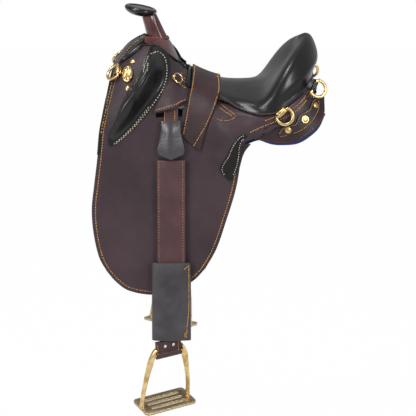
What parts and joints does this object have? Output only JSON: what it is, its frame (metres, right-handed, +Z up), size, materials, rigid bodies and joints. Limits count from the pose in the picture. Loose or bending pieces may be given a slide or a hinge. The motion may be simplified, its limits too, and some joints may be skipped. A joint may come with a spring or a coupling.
{
  "type": "australian stock saddle",
  "caption": "Horned Australian stock saddle with padded seat, knee pads, hanging flaps, stirrups on leathers, and rings for gear.",
  "frame": {"origin": "on the ridge of the horse's back under the middle of the saddle, where the saddle rests on a back or a rack", "axes": "+X to the rear (cantle), -X to the front (horn), +Y to the saddle's right, +Z up"},
  "size_m": [0.5411, 0.6304, 0.907],
  "materials": {
    "tree_wood": "varnished laminated wood",
    "steel": "plain steel",
    "foam": "wool felt and foam",
    "blue_serge": "woven wool serge",
    "horn_leather": "glossy red-brown leather",
    "black_leather": "black leather with a soft sheen",
    "strap_leather": "red-brown strap leather",
    "brown_leather": "dark brown smooth leather",
    "brass": "polished brass",
    "antique_brass": "satin brass",
    "nickel": "nickel plated"
  },
  "bodies": {
    "saddle": {"tree_fork": "tree_wood", "gullet_plate": "steel", "tree_bars": "tree_wood", "tree_seat": "tree_wood", "horn_post": "steel", "horn_neck": "horn_leather", "horn_cap": "black_leather", "horn_collar": "horn_leather", "seat_foam": "foam", "seat_cover": "black_leather", "rear_jockey": "brown_leather", "front_binding": "black_leather", "overgirth": "strap_leather", "flap_top_left": "brown_leather", "flap_top_right": "brown_leather", "sweat_flap_left": "brown_leather", "sweat_flap_right": "brown_leather", "girth_billets": "strap_leather", "knee_pad_left": "black_leather", "knee_pad_right": "black_leather", "bar_covers": "brown_leather", "thigh_patch_tops": "black_leather", "panel_left": "blue_serge", "panel_right": "blue_serge", "panel_facings": "brown_leather", "facing_patches": "brown_leather", "rear_conchos": "brass", "oval_conchos": "brass", "pommel_screws": "brass", "stirrup_bars": "steel", "bar_straps": "strap_leather", "buckles": "brass", "buckle_guards": "black_leather", "front_dee_clips": "brass", "rear_dee_clips": "brass", "high_dee_chapes": "black_leather", "tie_staples": "brass"},
    "flap_left_body": {"flap_left": "brown_leather", "thigh_patch_left": "black_leather"},
    "leather_left_body": {"stirrup_leather_left": "strap_leather"},
    "sleeve_left_body": {"sleeve_left": "black_leather"},
    "loop_left_body": {"loop_left": "strap_leather", "loop_rivets_left": "nickel"},
    "iron_left_body": {"stirrup_left": "antique_brass"},
    "front_dee_left_body": {"front_dee_left": "brass"},
    "rear_dee_left_body": {"rear_dee_left": "brass"},
    "high_dee_left_body": {"high_dee_left": "brass"},
    "tie_ring_left_body": {"tie_ring_left": "brass"},
    "flap_right_body": {"flap_right": "brown_leather", "thigh_patch_right": "black_leather"},
    "leather_right_body": {"stirrup_leather_right": "strap_leather"},
    "sleeve_right_body": {"sleeve_right": "black_leather"},
    "loop_right_body": {"loop_right": "strap_leather", "loop_rivets_right": "nickel"},
    "iron_right_body": {"stirrup_right": "antique_brass"},
    "front_dee_right_body": {"front_dee_right": "brass"},
    "rear_dee_right_body": {"rear_dee_right": "brass"},
    "high_dee_right_body": {"high_dee_right": "brass"},
    "tie_ring_right_body": {"tie_ring_right": "brass"}
  },
  "joints": [
    {"name": "flap_lift_left", "type": "hinge", "parent": "saddle", "child": "flap_left_body", "pos_m": [-0.08401, -0.18985, -0.06734], "axis": [-1, 0, 0], "range_deg": [0, 60]},
    {"name": "leather_swing_left", "type": "hinge", "parent": "flap_left_body", "child": "leather_left_body", "pos_m": [-0.08401, -0.18985, -0.06734], "axis": [-1, 0, 0], "range_deg": [0, 30]},
    {"name": "sleeve_slide_left", "type": "slide", "parent": "leather_left_body", "child": "sleeve_left_body", "axis": [0, 0.1908, 0.9816], "range_m": [0, 0.1]},
    {"name": "stirrup_turn_left", "type": "hinge", "parent": "leather_left_body", "child": "loop_left_body", "pos_m": [-0.09201, -0.26828, -0.47319], "axis": [0, 0, 1], "range_deg": [-90, 60]},
    {"name": "iron_swing_left", "type": "hinge", "parent": "loop_left_body", "child": "iron_left_body", "pos_m": [-0.09201, -0.26828, -0.50319], "axis": [0.848, 0.5299, 0], "range_deg": [-60, 60]},
    {"name": "front_dee_flip_left", "type": "hinge", "parent": "saddle", "child": "front_dee_left_body", "pos_m": [-0.20669, -0.10336, 0.12815], "axis": [0, 0.7979, 0.6028], "range_deg": [0, 120]},
    {"name": "rear_dee_flip_left", "type": "hinge", "parent": "saddle", "child": "rear_dee_left_body", "pos_m": [0.16757, -0.17467, 0.04288], "axis": [-0.7428, -0.1901, -0.642], "range_deg": [0, 120]},
    {"name": "high_dee_flip_left", "type": "hinge", "parent": "saddle", "child": "high_dee_left_body", "pos_m": [0.24367, -0.11849, 0.09311], "axis": [-0.4777, -0.4301, -0.766], "range_deg": [0, 100]},
    {"name": "tie_ring_flip_left", "type": "hinge", "parent": "saddle", "child": "tie_ring_left_body", "pos_m": [-0.07779, -0.11858, 0.11555], "axis": [0, -0.6428, -0.766], "range_deg": [0, 120]},
    {"name": "flap_lift_right", "type": "hinge", "parent": "saddle", "child": "flap_right_body", "pos_m": [-0.08401, 0.18985, -0.06734], "axis": [1, 0, 0], "range_deg": [0, 60]},
    {"name": "leather_swing_right", "type": "hinge", "parent": "flap_right_body", "child": "leather_right_body", "pos_m": [-0.08401, 0.18985, -0.06734], "axis": [1, 0, 0], "range_deg": [0, 30]},
    {"name": "sleeve_slide_right", "type": "slide", "parent": "leather_right_body", "child": "sleeve_right_body", "axis": [0, -0.1908, 0.9816], "range_m": [0, 0.1]},
    {"name": "stirrup_turn_right", "type": "hinge", "parent": "leather_right_body", "child": "loop_right_body", "pos_m": [-0.09201, 0.26828, -0.47319], "axis": [0, 0, -1], "range_deg": [-90, 60]},
    {"name": "iron_swing_right", "type": "hinge", "parent": "loop_right_body", "child": "iron_right_body", "pos_m": [-0.09201, 0.26828, -0.50319], "axis": [-0.848, 0.5299, 0], "range_deg": [-60, 60]},
    {"name": "front_dee_flip_right", "type": "hinge", "parent": "saddle", "child": "front_dee_right_body", "pos_m": [-0.20669, 0.10336, 0.12815], "axis": [0, 0.7979, -0.6028], "range_deg": [0, 120]},
    {"name": "rear_dee_flip_right", "type": "hinge", "parent": "saddle", "child": "rear_dee_right_body", "pos_m": [0.16757, 0.17467, 0.04288], "axis": [0.7428, -0.1901, 0.642], "range_deg": [0, 120]},
    {"name": "high_dee_flip_right", "type": "hinge", "parent": "saddle", "child": "high_dee_right_body", "pos_m": [0.24367, 0.11849, 0.09311], "axis": [0.4777, -0.4301, 0.766], "range_deg": [0, 100]},
    {"name": "tie_ring_flip_right", "type": "hinge", "parent": "saddle", "child": "tie_ring_right_body", "pos_m": [-0.07779, 0.11858, 0.11555], "axis": [0, -0.6428, 0.766], "range_deg": [0, 120]}
  ]
}
